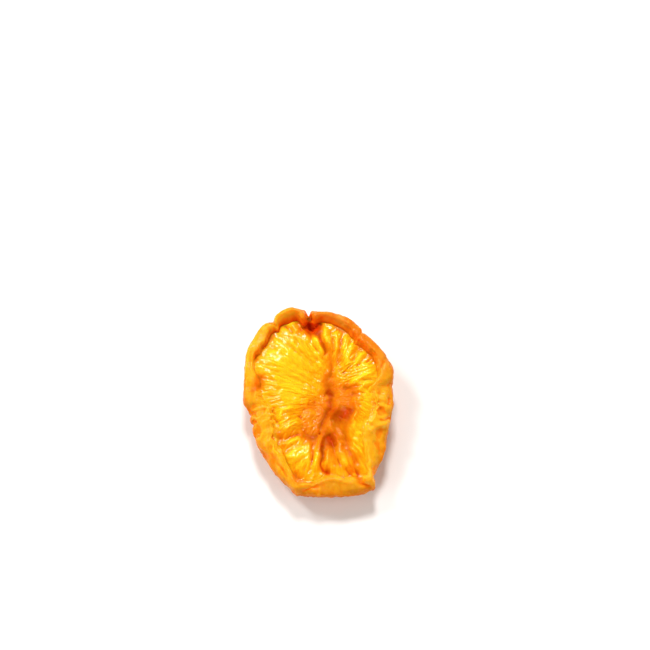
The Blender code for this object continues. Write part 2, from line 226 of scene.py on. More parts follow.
# Ridges and creases of the skin on the rim, collar and sides
SKIN_FOLDS = (
    # the right collar: its dimples, the shelf across it, and the dents below
    (0.6, -0.6, (18.9, 1.0), (18.5, 0.0), (19.0, -1.0), (19.9, -2.4)),
    (0.6, -0.4, (18.6, -2.9), (19.7, -3.5)),
    (0.7, -0.8, (19.2, -5.3), (20.6, -5.8), (22.0, -5.4), (23.4, -4.6)),
    (1.2, 0.5, (20.8, 2.4), (20.0, 1.0)),
    (1.2, -0.4, (20.6, -1.0), (20.8, -3.0), (20.6, -4.6)),
    (0.6, -0.6, (22.4, 2.0), (22.5, 0.4), (21.9, -0.8)),
    (0.9, 0.7, (15.4, -9.8), (16.8, -8.6), (19.0, -7.4), (21.0, -6.8), (23.0, -6.0)),
    (1.0, -0.45, (18.8, -8.6), (20.4, -8.4), (21.6, -8.8)),
    (1.2, -0.5, (19.8, -12.4), (19.0, -15.0), (19.2, -17.0)),
    (1.0, -0.5, (18.3, -20.4), (17.4, -22.2)),
    (0.8, 0.6, (20.8, -13.0), (20.3, -17.0), (19.3, -21.0)),
    (0.8, 0.5, (16.3, -19.0), (16.6, -22.0), (15.6, -25.4)),
    (0.8, -1.2, (12.8, -24.2), (13.6, -26.0), (15.0, -27.1), (16.8, -27.4)),
    # the left collar: creases along it, and the nicks in its edge
    (1.0, -0.7, (-17.2, -14.4), (-14.8, -17.8), (-12.2, -20.6), (-10.8, -23.0), (-10.2, -25.2)),
    (0.7, 0.6, (-12.2, -16.0), (-11.4, -18.4), (-9.6, -21.6), (-8.8, -24.2), (-7.4, -26.4)),
    (0.7, -0.5, (-21.8, -6.0), (-20.2, -6.4), (-19.7, -7.6), (-18.6, -8.1)),
    (0.6, -0.6, (-22.4, -2.8), (-20.6, -4.0), (-19.0, -4.5)),
    (0.8, 0.6, (-18.0, 2.0), (-16.4, 1.0), (-15.2, -2.2), (-14.0, -5.6), (-13.4, -8.5)),
    # the bottom lip: its rim, its fold, and the edge where it turns under
    (0.7, 0.5, (0.2, -26.2), (2.4, -25.2), (5.0, -25.0), (8.0, -25.8), (11.0, -26.3)),
    (0.8, -0.7, (-6.4, -30.6), (-4.4, -28.8), (-2.0, -27.6), (0.6, -27.4)),
    (1.0, 0.8, (-3.0, -30.8), (0.0, -29.6), (4.0, -29.3), (8.0, -29.9), (12.0, -31.0)),
    # the rolls: their ends at the cleft, where one overlaps the next, and their creases
    (0.6, -1.8, (-3.8, 31.7), (-3.3, 29.3), (-2.6, 27.1)),
    (1.0, 0.7, (-5.4, 29.5), (-4.8, 28.3), (-4.6, 27.3)),
    (0.9, 0.5, (-1.6, 29.7), (-0.9, 28.3)),
    (0.6, -1.0, (-16.5, 27.7), (-14.5, 26.6), (-13.2, 25.6)),
    (0.5, -0.4, (12.7, 20.3), (13.0, 21.9), (13.4, 23.1)),
    (0.5, -0.4, (14.8, 20.7), (16.4, 18.3), (18.6, 15.9), (20.4, 13.9)),
    (0.6, -0.8, (19.8, 11.5), (20.5, 13.1), (21.4, 14.3)),
)

# Where the colour turns from gold to the red orange of the scar, and where red orange is
# painted in as the shade of creases, pits, the cavity and the rim's pockets: half width,
# share, way
BLUSHES_AND_SHADES = (
    # a broad orange field round the scar, and fields of clear gold beside it
    (4.6, 0.75, (3.4, 9.0), (3.6, 4.0), (3.6, -2.0), (4.0, -8.0), (4.2, -14.0), (4.4, -21.0)),
    (3.8, 0.55, (-3.6, 0.6), (-4.0, -5.0), (-3.4, -10.0), (-1.0, -14.0)),
    (3.4, 0.6, (9.0, 5.0), (10.4, 1.0), (10.4, -4.0), (9.0, -9.0)),
    (5.0, -0.6, (-12.0, 12.0), (-7.5, 5.6), (-10.0, 0.0)),
    (2.6, -0.5, (10.0, 17.0), (15.4, 11.0), (15.6, -2.0)),
    (2.6, -0.5, (13.6, -5.0), (12.8, -13.0)),
    # the scar: its crease, its star, the ways down and left from it, and the hollow
    (0.9, 0.5, (4.4, 13.0), (4.2, 10.4), (3.6, 8.4)),
    (1.6, 0.4, (2.0, 10.0), (2.6, 6.4), (2.4, 4.6)),
    (1.1, 0.8, (2.0, 2.2), (2.6, 3.2), (4.4, 2.4), (6.0, 1.6)),
    (1.3, 0.6, (4.3, 0.6), (4.0, -1.4), (2.6, -3.6), (1.4, -6.0), (0.6, -9.0)),
    (1.3, 0.5, (-0.4, 0.6), (-2.0, 0.0), (-4.0, 0.4)),
    (1.8, 1.1, (9.6, -1.4), (8.6, -3.2), (7.4, -5.2)),
    (1.5, 0.4, (6.4, -1.0), (5.6, -4.0), (5.6, -6.0)),
    # the band that runs down from it, and the lower cleft, whose creases and pit are painted
    # in red orange shade
    (1.8, 0.45, (8.2, -7.0), (8.6, -11.0), (9.6, -15.0), (11.0, -18.4), (12.2, -21.4)),
    (1.4, 0.6, (-7.0, -10.6), (-3.0, -10.8), (0.0, -10.6)),
    (1.3, 0.9, (2.8, -10.4), (3.8, -12.0), (4.8, -14.0)),
    (0.9, 0.8, (2.0, -12.0), (1.3, -17.0), (1.0, -20.6)),
    (1.1, 0.9, (1.8, -22.5), (3.6, -22.9)),
    (0.8, 0.7, (8.6, -21.0), (10.4, -24.2)),
    (1.1, 0.7, (11.6, -21.6), (13.2, -25.2), (15.6, -27.2)),
    # the cavity in the upper cleft, the strip and the flap by it, and the pockets of the rim;
    # in the cavity, the notch above it, the grooves by the strip, along the foot of the rim and
    # in the pockets, the red orange is painted shade
    (1.0, 1.4, (-3.5, 30.4), (-3.2, 28.6), (-2.8, 26.8)),
    (1.7, 2.8, (-5.2, 26.8), (-3.0, 25.3), (-1.6, 24.9), (-1.0, 26.4)),
    (1.0, 0.8, (-1.0, 26.4), (1.0, 28.2)),
    (1.1, 0.8, (1.0, 28.0), (4.0, 27.6), (8.0, 25.6), (10.0, 23.4), (13.0, 20.0), (17.0, 15.6),
     (19.6, 12.4)),
    (0.7, 0.8, (-1.0, 23.8), (0.6, 21.8), (1.7, 19.4), (2.0, 16.4)),
    (0.8, -0.6, (-1.6, 22.0), (0.4, 18.6), (1.2, 16.0)),
    (2.2, 0.5, (3.0, 22.0), (3.4, 17.0), (4.0, 12.0)),
    (1.2, 0.5, (-10.0, 26.6), (-6.4, 23.6)),
    (1.3, 0.7, (-13.6, 23.6), (-16.2, 21.0), (-17.0, 18.4), (-19.6, 15.4), (-19.6, 13.2)),
    (1.7, 0.9, (-18.4, 9.6), (-19.4, 6.4), (-20.0, 3.0)),
    (1.7, 0.6, (-8.4, -23.2), (-6.6, -25.0), (-5.0, -26.0)),
    (2.0, 0.45, (-13.0, -9.5), (-12.0, -12.0), (-11.2, -16.8)),
    # creases of the right side, their red orange painted as shade
    (1.0, 0.7, (7.4, 5.2), (10.0, 5.2), (14.0, 6.2)),
    (0.9, 0.5, (10.0, 3.4), (14.0, 3.4)),
    (1.2, 0.4, (7.6, 22.8), (7.0, 17.0), (6.0, 13.0)),
    (1.2, 0.5, (14.0, 18.0), (12.6, 17.6), (11.0, 14.0)),
)

# How strongly the flesh is pleated at every 45 degrees from +X
PLEATS = (0.65, 0.7, 0.42, 0.32, 0.42, 0.48, 0.5, 0.6)

# How far the skin of the rim has turned from gold to red orange, at every 30 degrees from
# +X, and how far that of the outer wall has, which is partly its own colour and partly
# painted shade on the wall as it slopes down and turns under
SKIN_RED = (0.15, 0.6, 0.85, 0.9, 0.2, 0.05, 0.3, 0.2, 0.15, 0.45, 0.2, 0.0)
WALL_RED_AND_SHADE = 1.0

# How strongly the rim is wrinkled across and along, at every 30 degrees from +X
WRINKLED_ACROSS = (0.1, 0.05, 0.1, 0.1, 0.2, 0.2, 0.2, 0.2, 0.2, 0.2, 0.3, 0.3)
WRINKLED_ALONG = (0.6, 0.15, 0.1, 0.1, 0.2, 0.3, 0.3, 0.8, 0.9, 0.5, 0.4, 0.6)

# The circle that the fan's noise is read on, for broad pleats, narrow pleats and fibres: the
# larger it is, the more of them come round the half
FAN_CIRCLES = (5.0, 13.0, 33.0)

# Stations of the section, counted from the middle of the cut face: 3 is the edge of the
# flesh, 4 the foot of the rim's wall, 6 the rim's crest, 8 the outline, and 12 the middle of
# the base. Here are the share of the rings that each stretch between them takes, and where
# what belongs to the flesh, the rim and the skin ends.
STRETCHES = (16, 16, 14, 5, 4, 4, 6, 7, 7, 8, 8, 9)
FLESH_END = 3.5
RIM_END = 8.0
SKIN_END = 12.0
ROLL_THICK = 4.2  # the most that curls, in millimetres; the rest is a sloping collar
# The hollows that this smoothing finds are painted in as red orange shade, and ridges as highlight
HOLLOW_ROUNDS = 50  # rounds of smoothing that show what lies in a hollow


def catmull_rom(before, start, end, after, share):
    """The smooth curve through four values, between the second and third."""
    return 0.5 * (
        2 * start
        + (end - before) * share
        + (2 * before - 5 * start + 4 * end - after) * share**2
        + (3 * start - before - 3 * end + after) * share**3
    )


def around(values, angle):
    """A value at this angle, from values spaced evenly round the half."""
    place = (angle / math.tau) % 1.0 * len(values)
    first = int(place)
    near = [values[(first + step) % len(values)] for step in (-1, 0, 1, 2)]
    return catmull_rom(*near, place - first)


def along(values, place):
    """A value at this place, from 0 to the last, of a list that ends level."""
    first = min(int(place), len(values) - 2)
    padded = (values[0], *values, values[-1])
    return catmull_rom(*padded[first : first + 4], place - first)


def hump(distance, half_width):
    """1 at no distance, falling smoothly to almost 0 at two half widths."""
    return math.exp(-((distance / half_width) ** 2))


def degrees_apart(angle, degrees):
    """How far an angle in radians is from one in degrees, in degrees."""
    return (math.degrees(angle) - degrees + 180.0) % 360.0 - 180.0


def marks_at(marks, angle):
    """What a list of marks, each angle, half width and size, adds here."""
    return sum(size * hump(degrees_apart(angle, at), wide) for at, wide, size in marks)


def clamp(value, low=0.0, high=1.0):
    """A value kept between two bounds."""
    return max(low, min(high, value))


def smooth(low, high, value):
    """0 up to low and 1 from high on, easing in and out between them; high may be the lower."""
    share = clamp((value - low) / (high - low))
    return share * share * (3 - 2 * share)


def soft_size(value):
    """The size of a value, rounded off near 0 so that a ridge made with it isn't sharp."""
    return math.sqrt(value * value + 0.003)


@functools.lru_cache(maxsize=None)
def profile_at(angle):
    """The stations of the section at this angle: distances out, heights, and how far it curls."""
    in_cleft = hump(degrees_apart(angle, CLEFT[0]), CLEFT[1] * 1.4)
    tuck = marks_at(TUCKS, angle)
    plain_width = around(RIM_WIDTH, angle)
    plain_inner = around(OUTLINE, angle) - plain_width
    plain_crest = around(CREST, angle)
    step = around(STEP_DOWN, angle)
    outer = plain_inner + plain_width + marks_at(OUTLINE_MARKS, angle) - 0.35 * tuck
    width = plain_width + marks_at(WIDTH_MARKS, angle) - 0.2 * tuck
    for scale, share in ((9, 0.15), (26, 0.04)):
        spot = (scale * math.cos(angle), scale * math.sin(angle), 2.0)
        width += share * plain_width * noise.noise(spot)
    cup = marks_at(CUPS, angle)
    crest = plain_crest - CLEFT_DROP * in_cleft - 0.7 * tuck
    widest = around(WIDEST, angle) - 0.6 * CLEFT_DROP * in_cleft
    flesh = plain_crest - step - 0.8 * CLEFT_DROP * in_cleft
    swell = plain_crest - step + PILLOW
    inner = outer - width
    thick = min(width, ROLL_THICK)
    collar = width - thick
    lean = around(LEAN, angle)
    curl = smooth(1.2, 3.0, step)  # whether the rim curls over the flesh or runs into it
    distances = (
        0.0,
        0.36 * plain_inner,
        0.72 * plain_inner,
        inner - 0.9 - cup,
        inner - (0.08 + 0.06 * curl) * thick - cup,
        inner + 0.25 * lean * thick - 0.4 * cup,
        inner + lean * thick,
        inner + 0.84 * thick + 0.7 * collar,
        outer,
        0.93 * outer,
        0.74 * outer,
        0.47 * outer,
        0.0,
    )
    heights = (
        MIDDLE,
        0.5 * (MIDDLE + swell),
        swell,
        flesh + 0.1,
        flesh - 0.12 * curl,
        crest - min(0.42 * thick, 0.55 * step),
        crest,
        crest - 0.18 * thick - 0.25 * collar,
        widest,
        0.5 * widest,
        0.13 * widest,
        -0.25,
        -0.45,
    )
    return distances, heights, curl


def station_at(share):
    """Where a ring lies between stations, from its share of the way down."""
    left = share * sum(STRETCHES)
    for index, stretch in enumerate(STRETCHES):
        if left <= stretch:
            return index + left / stretch
        left -= stretch
    return float(len(STRETCHES))


def smooth_all(low, high, values):
    """The same as smooth, for an array."""
    share = np.clip((values - low) / (high - low), 0.0, 1.0)
    return share * share * (3 - 2 * share)


def near_way(plan, way):
    """For points in plan: how far each is from a way, and what share along it."""
    apart = np.full(len(plan), 1e9)
    share_along = np.zeros(len(plan))
    for index, (start, end) in enumerate(zip(way, way[1:])):
        start, end = np.array(start), np.array(end)
        step = end - start
        share = np.clip((plan - start) @ step / (step @ step), 0.0, 1.0)
        distance = np.linalg.norm(plan - start - share[:, None] * step, axis=1)
        closer = distance < apart
        apart[closer] = distance[closer]
        share_along[closer] = (index + share[closer]) / (len(way) - 1)
    return apart, share_along


def ways_at(plan, ways):
    """What a list of ways, each half width, size and points, adds up to at each point."""
    total = np.zeros(len(plan))
    for half_width, size, *way in ways:
        apart, share = near_way(plan, way)
        taper = smooth_all(-0.12, 0.2, share) * smooth_all(1.12, 0.8, share)
        sharpness = 1.7 if size > 0 else 1.4
        total += size * taper * np.exp(-np.abs(apart / half_width) ** sharpness)
    return total


def wandered(plan, size, reach):
    """Points in plan, each moved a little by a slow noise, so that no line is drawn true."""
    moved = [
        (x + reach * noise.noise((x / size, y / size, 1.7)),
         y + reach * noise.noise((x / size, y / size, 8.3)))
        for x, y in plan
    ]
    return np.array(moved)


def fan_place(x, y):
    """Where a point lies in the fan of fibres: a spot on a circle, and how far out it is.

    The fibres are taken to be hyperbolas that share the spine's two ends as foci. Close to
    the spine the circle is pressed flat, so that its two sides meet."""
    top, bottom = SPINE
    centre, half = (top + bottom) / 2, (top - bottom) / 2
    spread = cmath.acosh((complex(x, y) - centre) / half)
    out, facing = abs(spread.real), math.copysign(1.0, spread.real) * spread.imag
    return Vector((math.cos(facing), math.sin(facing) * smooth(0.0, 0.3, out), 0.0)), out


def pleats_at(x, y, reach, scar):
    """Height of the flesh's pleats and fibres, which run out from the spine.

    They fade in the scar, which is smooth, and under the rim."""
    x += 0.7 * noise.noise((x / 5, y / 5, 4.0)) + 0.25 * noise.noise((x / 1.7, y / 1.7, 6.0))
    y += 0.7 * noise.noise((x / 5, y / 5, 14.0)) + 0.25 * noise.noise((x / 1.7, y / 1.7, 16.0))
    spot, out = fan_place(x, y)
    broad, narrow, fibre = (
        noise.noise(often * spot + Vector(shift))
        for often, shift in zip(
            FAN_CIRCLES, ((0, 0, 0.8 * out), (7.0, 0, 2.4 * out), (0, 9.0, 6.0 * out))
        )
    )
    crinkle = noise.noise((x / 1.6, y / 1.6, 2.0))
    lumps = noise.noise((x / 2.4, y / 2.4, 7.0)) + 0.5 * noise.noise((x, y, 3.0))
    fade = smooth(1.06, 0.9, reach) * (1.0 - 0.85 * scar)
    strength = around(PLEATS, math.atan2(y - 3.0, x - 2.5))
    height = 0.9 * strength * broad * smooth(0.1, 0.6, out)
    height += 0.85 * strength * (0.45 - 1.5 * soft_size(narrow)) * smooth(0.05, 0.4, out)
    height += 0.3 * smooth(0.1, 0.5, out) * (0.4 - 1.4 * soft_size(fibre))
    return fade * height + 0.2 * crinkle + 0.14 * smooth(0.4, 1.0, scar) * lumps


def skin_relief(point):
    """Wrinkles of the skin, which run lengthwise, with puckers between them."""
    x, y, z = point
    broad = noise.noise((x / 8.0, y / 9.0, z / 8.0 + 5))
    long = noise.noise((x / 3.0, y / 11.0, z / 3.0))
    short = noise.noise((x / 1.7 + 9, y / 4.0, z / 1.7))
    fine = noise.noise((x / 0.9, y / 1.6, z / 0.9 + 3))
    return 0.7 * broad + 0.75 * abs(long) + 0.45 * abs(short) + 0.15 * abs(fine) - 0.35


def rim_relief(point, place):
    """Lumps of the rim, and its wrinkles: along it in some stretches and across it in others."""
    angle = math.atan2(point.y, point.x)
    x, y = 9.0 * math.cos(angle), 9.0 * math.sin(angle)
    lumps = 0.28 * noise.noise(point / 3.4) + 0.08 * noise.noise(point / 1.4)
    across = 0.4 - 1.3 * soft_size(noise.noise((1.6 * x, 1.6 * y, 0.35 * place)))
    lengthwise = 0.4 - 1.3 * soft_size(noise.noise((0.45 * x, 0.45 * y, 1.5 * place)))
    across *= around(WRINKLED_ACROSS, angle)
    lengthwise *= around(WRINKLED_ALONG, angle)
    return lumps + across + lengthwise


def hollows_of(mesh):
    """How far each vertex lies below the mean of its surroundings, about 1.5 mm round it."""
    points = np.array([v.co for v in mesh.verts])
    normals = np.array([v.normal for v in mesh.verts])
    ends = np.array([[v.index for v in edge.verts] for edge in mesh.edges])
    ends = np.concatenate((ends, ends[:, ::-1]))
    shares = np.bincount(ends[:, 0])[:, None]
    around_it = points.copy()
    for _ in range(HOLLOW_ROUNDS):
        sums = [np.bincount(ends[:, 0], around_it[ends[:, 1], axis]) for axis in range(3)]
        around_it = 0.5 * around_it + 0.5 * np.column_stack(sums) / shares
    return ((around_it - points) * normals).sum(axis=1)


# What the mesh stores for the material at each vertex: how much of it is flesh, how high its folds
# stand, set deeper in hollows, from which the material paints highlight on ridges and shade in
# valleys and creases, how far its colour has turned, partly as painted shade in creases, pits, the
# cavity and the rim's pockets, how red its skin is, partly as painted shade on the outer wall, and
# how far it is tucked in, for painted shade at the foot of a roll
SHARES = ("flesh", "fold_shade", "blush_and_shade", "red", "tucked_shade")
# It also stores a place in the fan, on a tube that the material's finest fibres are read on:
# the tube's circle, and how far it rises for each step out
FIBRE_CIRCLE = 30.0
FIBRE_RISE = 3.0


def lay_rings(mesh):
    """Moves the rings of a sphere to the sections of the half.

    Gives each vertex's station, how far out it is for the flesh there, and how far the rim
    beside it curls."""
    places, reaches, curls = np.zeros((3, len(mesh.verts)))
    for index, vertex in enumerate(mesh.verts):
        angle = round(math.atan2(vertex.co.y, vertex.co.x), 5)
        place = station_at(math.acos(clamp(vertex.co.z, -1.0, 1.0)) / math.pi)
        distances, heights, curls[index] = profile_at(angle)
        distance = along(distances, place)
        vertex.co = (math.cos(angle) * distance, math.sin(angle) * distance, along(heights, place))
        places[index] = place
        reaches[index] = distance / distances[3]
    return places, reaches, curls


def fold_flesh(mesh, places, reaches, folds, blushes_and_shades):
    """Raises the folds, pleats and fibres of the cut face, and stores where its colours turn."""
    fold_shade_layer = mesh.verts.layers.float["fold_shade"]
    blush_and_shade_layer = mesh.verts.layers.float["blush_and_shade"]
    fan_layer = mesh.verts.layers.float_vector["fan"]
    on_flesh = smooth_all(FLESH_END, FLESH_END - 0.7, places)
    for index, vertex in enumerate(mesh.verts):
        x, y = vertex.co.xy
        spot, out = fan_place(x, y)
        scar = clamp(blushes_and_shades[index])
        pleat = pleats_at(x, y, reaches[index], scar) if places[index] < FLESH_END else 0.0
        relief = on_flesh[index] * (folds[index] + pleat)
        vertex.co.z += relief
        vertex[fan_layer] = FIBRE_CIRCLE * spot + Vector((0.0, 0.0, FIBRE_RISE * out))
        vertex[fold_shade_layer] = relief
        vertex[blush_and_shade_layer] = blushes_and_shades[index]


def wrinkle_skin(mesh, places, curls, folds):
    """Wrinkles the rim and the skin, and stores where skin begins, where it reddens, partly as
    painted shade on the outer wall, and where it is tucked in, for painted shade at the foot of
    the rolls.
    """
    flesh_layer, fold_shade_layer, _, red_layer, tucked_shade_layer = (
        mesh.verts.layers.float[name] for name in SHARES
    )
    on_rim = smooth_all(FLESH_END + 0.1, FLESH_END + 1.1, places)
    on_rim *= smooth_all(RIM_END + 0.6, RIM_END - 1.0, places)
    on_skin = smooth_all(RIM_END - 1.5, RIM_END + 0.5, places)
    on_skin *= smooth_all(SKIN_END, SKIN_END - 1.4, places)
    for index, vertex in enumerate(mesh.verts):
        place = places[index]
        curl = curls[index]
        redness = around(SKIN_RED, math.atan2(vertex.co.y, vertex.co.x))
        # The outer wall is redder: partly its own colour, partly painted shade as it slopes down
        # and turns under
        vertex[red_layer] = redness + (WALL_RED_AND_SHADE - 0.6 * redness) * smooth(6.4, 8.4, place)
        blurred = place + (1.0 - curl) * 2.0 * noise.noise(vertex.co / 2.5)
        vertex[flesh_layer] = 1.0 - smooth(3.0 + curl, 6.2 - 1.3 * curl, blurred)
        # Painted shade where the flesh dives under a roll and up the roll's inner wall
        vertex[tucked_shade_layer] = curl * smooth(3.3, 4.0, place) * smooth(5.8, 4.0, place)
        if place < FLESH_END:
            continue
        push = on_rim[index] * rim_relief(vertex.co, place)
        push += on_skin[index] * skin_relief(vertex.co)
        facing_up = smooth(0.0, 0.5, vertex.normal.z) * smooth(4.4, 5.4, place)
        push += folds[index] * facing_up
        vertex[fold_shade_layer] += push
        vertex.co += vertex.normal * push


def shape_half(mesh):
    """Makes a sphere of rings the half, in millimetres, with what its material reads."""
    for name in SHARES:
        mesh.verts.layers.float.new(name)
    mesh.verts.layers.float_vector.new("fan")
    places, reaches, curls = lay_rings(mesh)

    points = np.array([v.co for v in mesh.verts])
    shown_up = VIEW_SHORTENS * points[:, 1] + VIEW_RAISES * (points[:, 2] - VIEW_LEVEL)
    seen = np.column_stack((points[:, 0], shown_up))
    lines = wandered(wandered(seen, 3.0, 0.3), 1.2, 0.2)
    blushes_and_shades = ways_at(wandered(seen, 5.0, 1.6), BLUSHES_AND_SHADES) * smooth_all(9.0, 8.0, places)
    fold_flesh(mesh, places, reaches, ways_at(lines, FOLDS), blushes_and_shades)
    mesh.normal_update()
    wrinkle_skin(mesh, places, curls, ways_at(lines, SKIN_FOLDS))
    mesh.normal_update()

    # Light gathers in hollows and comes back redder, so they are stored as if they lay deeper
    flesh_layer, fold_shade_layer = (mesh.verts.layers.float[name] for name in ("flesh", "fold_shade"))
    mesh.verts.index_update()
    for vertex, hollow in zip(mesh.verts, hollows_of(mesh)):
        vertex[fold_shade_layer] -= (3.0 - 2.2 * vertex[flesh_layer]) * hollow


def settle(mesh, size):
    """Flattens the base where the half lies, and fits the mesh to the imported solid's place."""
    for vertex in mesh.verts:
        vertex.co.z = max(vertex.co.z, 0.0)
    points = np.array([v.co for v in mesh.verts])
    low, high = Vector(points.min(axis=0)), Vector(points.max(axis=0))
    middle = (LOW + HIGH) / 2
    start = Vector((middle.x - size.x / 2, middle.y - size.y / 2, LOW.z))
    for vertex in mesh.verts:
        for axis in range(3):
            share = (vertex.co[axis] - low[axis]) / (high[axis] - low[axis])
            vertex.co[axis] = start[axis] + share * size[axis]


def linear(hex_colour):
    """An sRGB hex colour such as #FFCC11 as a linear colour with alpha."""
    shares = [int(hex_colour[place : place + 2], 16) / 255 for place in (1, 3, 5)]
    return (*((s / 12.92 if s <= 0.04045 else ((s + 0.055) / 1.055) ** 2.4) for s in shares), 1.0)


def colour_setting(name, description, hex_colour):
    """A colour that can be changed in the panel."""
    return FloatVectorProperty(
        name=name,
        description=description,
        default=linear(hex_colour),
        subtype="COLOR",
        size=4,
        min=0.0,
        max=1.0,
    )


def add_node(tree, kind, inputs=None, **settings):
    """Adds a node with its settings, and sets or links its inputs."""
    made = tree.nodes.new(kind)
    for name, value in settings.items():
        setattr(made, name, value)
    for name, value in (inputs or {}).items():
        if isinstance(value, bpy.types.NodeSocket):
            tree.links.new(value, made.inputs[name])
        else:
            made.inputs[name].default_value = value
    return made


def tinted(tree, colour, tints):
    """Lays tints over a colour, in order, and gives what shows.

    Each tint is the value that it follows, where it begins and where it is full, how much of
    it shows there, and its own colour."""
    for value, begin, full, most, tint in tints:
        share = add_node(
            tree,
            "ShaderNodeMapRange",
            {0: value, 1: begin, 2: full, 3: 0.0, 4: most},
            interpolation_type="SMOOTHSTEP",
        )
        over = add_node(
            tree, "ShaderNodeMix", {0: share.outputs[0], 6: colour, 7: tint}, data_type="RGBA"
        )
        colour = over.outputs[2]
    return colour


# Real sizes in the surface, in millimetres: patches of ripeness, mottles of the skin, its grain,
# and the cells that the dried glaze of syrup draws together in
PATCH_MM = 6.0
MOTTLE_MM = 1.5
GRAIN_MM = 0.5
GLAZE_MM = 1.8


# Nectarine dried in the sun in open halves: the flesh has turned to a dense amber jelly, the
# syrup has dried on it as a thin uneven glaze, and the skin is thin leather. Light goes some
# way in, so creases glow red orange and are never grey; the glaze breaks the lights into
# small glints; the skin hardly shines. That red orange glow is also painted in: creases,
# hollows, tucks and the cavity get red orange shade tints, and the tops of ridges and fibres
# are painted lighter as highlight.
def dried_fruit_material(settings):
    """The material of the half, which reads from the mesh where each of its colours goes."""
    material = bpy.data.materials.new("sun_dried_nectarine_flesh_and_skin")
    material.use_nodes = True
    tree = material.node_tree
    tree.nodes.clear()
    place = add_node(tree, "ShaderNodeTexCoord").outputs["Object"]
    fan = add_node(tree, "ShaderNodeAttribute", attribute_name="fan").outputs["Vector"]
    flesh, fold_shade, blush_and_shade, red, tucked_shade = (
        add_node(tree, "ShaderNodeAttribute", attribute_name=name).outputs["Fac"]
        for name in SHARES
    )
    # The glaze's cells are drawn out along the fibres
    cells = add_node(
        tree, "ShaderNodeVectorMath", {0: place, "Scale": 1 / (GLAZE_MM * MM)}, operation="SCALE"
    )
    cells = add_node(
        tree,
        "ShaderNodeVectorMath",
        {0: fan, 1: (0.4, 0.4, 0.4), 2: cells.outputs[0]},
        operation="MULTIPLY_ADD",
    )
    patches, mottles, grain, fibres, glaze = (
        add_node(
            tree, "ShaderNodeTexNoise", {"Vector": where, "Scale": scale, "Detail": detail}
        ).outputs[0]
        for where, scale, detail in (
            (place, 1 / (PATCH_MM * MM), 3.0),
            (place, 1 / (MOTTLE_MM * MM), 4.0),
            (place, 1 / (GRAIN_MM * MM), 3.0),
            (fan, 1.3, 3.0),
            (cells.outputs[0], 1.0, 0.0),
        )
    )

    # Tints of the flesh, of the skin, and of the tucks and the cavity in both. Lighter tops of
    # fibres and ridges are painted highlight; deeper valleys, creases, skin folds, tucks, the
    # notch and the cavity are painted shade, red orange rather than grey.
    flesh_tints = (
        # Painted highlight: the tops of the fibres and of the ridges are lighter
        (fibres, 0.4, 0.65, 0.5, settings.flesh_light_and_highlight),
        (fold_shade, 0.1, 0.8, 1.0, settings.flesh_light_and_highlight),
        (patches, 0.5, 0.75, 0.3, settings.flesh_deep_and_shade),
        # Painted shade in the valleys between the pleats
        (fold_shade, 0.0, -1.3, 1.0, settings.flesh_deep_and_shade),
        # The blush: the scar's own red orange, and painted shade where it marks creases, pits, the
        # cavity and the rim's pockets
        (blush_and_shade, 0.0, -0.6, 1.0, settings.flesh_light_and_highlight),
        (blush_and_shade, 0.0, 0.7, 0.75, settings.flesh_deep_and_shade),
        (blush_and_shade, 0.4, 1.2, 1.0, settings.scar),
        (blush_and_shade, 0.8, 1.7, 1.0, settings.scar_deep),
        # Painted shade: deep creases and hollows turn red orange
        (fold_shade, -0.45, -1.8, 1.0, settings.crease_shade),
    )
    skin_tints = (
        (red, 0.0, 1.0, 1.0, settings.skin_red),
        (patches, 0.52, 0.75, 0.5, settings.skin_tan),
        (mottles, 0.52, 0.7, 0.3, settings.skin_red),
        (mottles, 0.46, 0.3, 0.4, settings.skin_tan),
        # Painted shade in the folds and hollows of the skin
        (fold_shade, 0.0, -0.7, 0.85, settings.skin_crease_shade),
        # Painted shade in the notch of the cleft and in the rim's pockets
        (blush_and_shade, 0.1, 0.8, 0.85, settings.tucked_shade),
        (blush_and_shade, 0.8, 1.6, 1.0, settings.crease_shade),
    )
    deep_tints = (
        # Painted shade at the foot of the rolls and up their inner wall
        (tucked_shade, 0.1, 0.7, 0.85, settings.tucked_shade),
        (tucked_shade, 0.5, 0.95, 1.0, settings.crease_shade),
        # Painted shade deep in the cavity at the stem end
        (blush_and_shade, 2.0, 2.7, 1.0, settings.cavity_shade),
    )
    skin = tinted(tree, settings.skin_gold, skin_tints)
    cut = tinted(tree, settings.flesh, flesh_tints)
    both = add_node(tree, "ShaderNodeMix", {0: flesh, 6: skin, 7: cut}, data_type="RGBA")
    colour = tinted(tree, both.outputs[2], deep_tints)

    # The glaze covers the flesh, thins out on the skin, and has soaked into the scar. What
    # lies under it is a little smoother where it is thick.
    glazed = add_node(tree, "ShaderNodeMapRange", {0: flesh, 3: 0.16, 4: 0.8})
    soaked = add_node(
        tree,
        "ShaderNodeMapRange",
        {0: blush_and_shade, 1: 0.25, 2: 0.9, 3: 0.0, 4: 1.0},
        interpolation_type="SMOOTHSTEP",
    )
    coat = add_node(tree, "ShaderNodeMix", {0: soaked.outputs[0], 2: glazed.outputs[0], 3: 0.07})
    roughness = add_node(
        tree,
        "ShaderNodeMapRange",
        {0: glaze, 1: 0.35, 2: 0.65, 3: 0.55, 4: 0.4},
        interpolation_type="SMOOTHSTEP",
    )

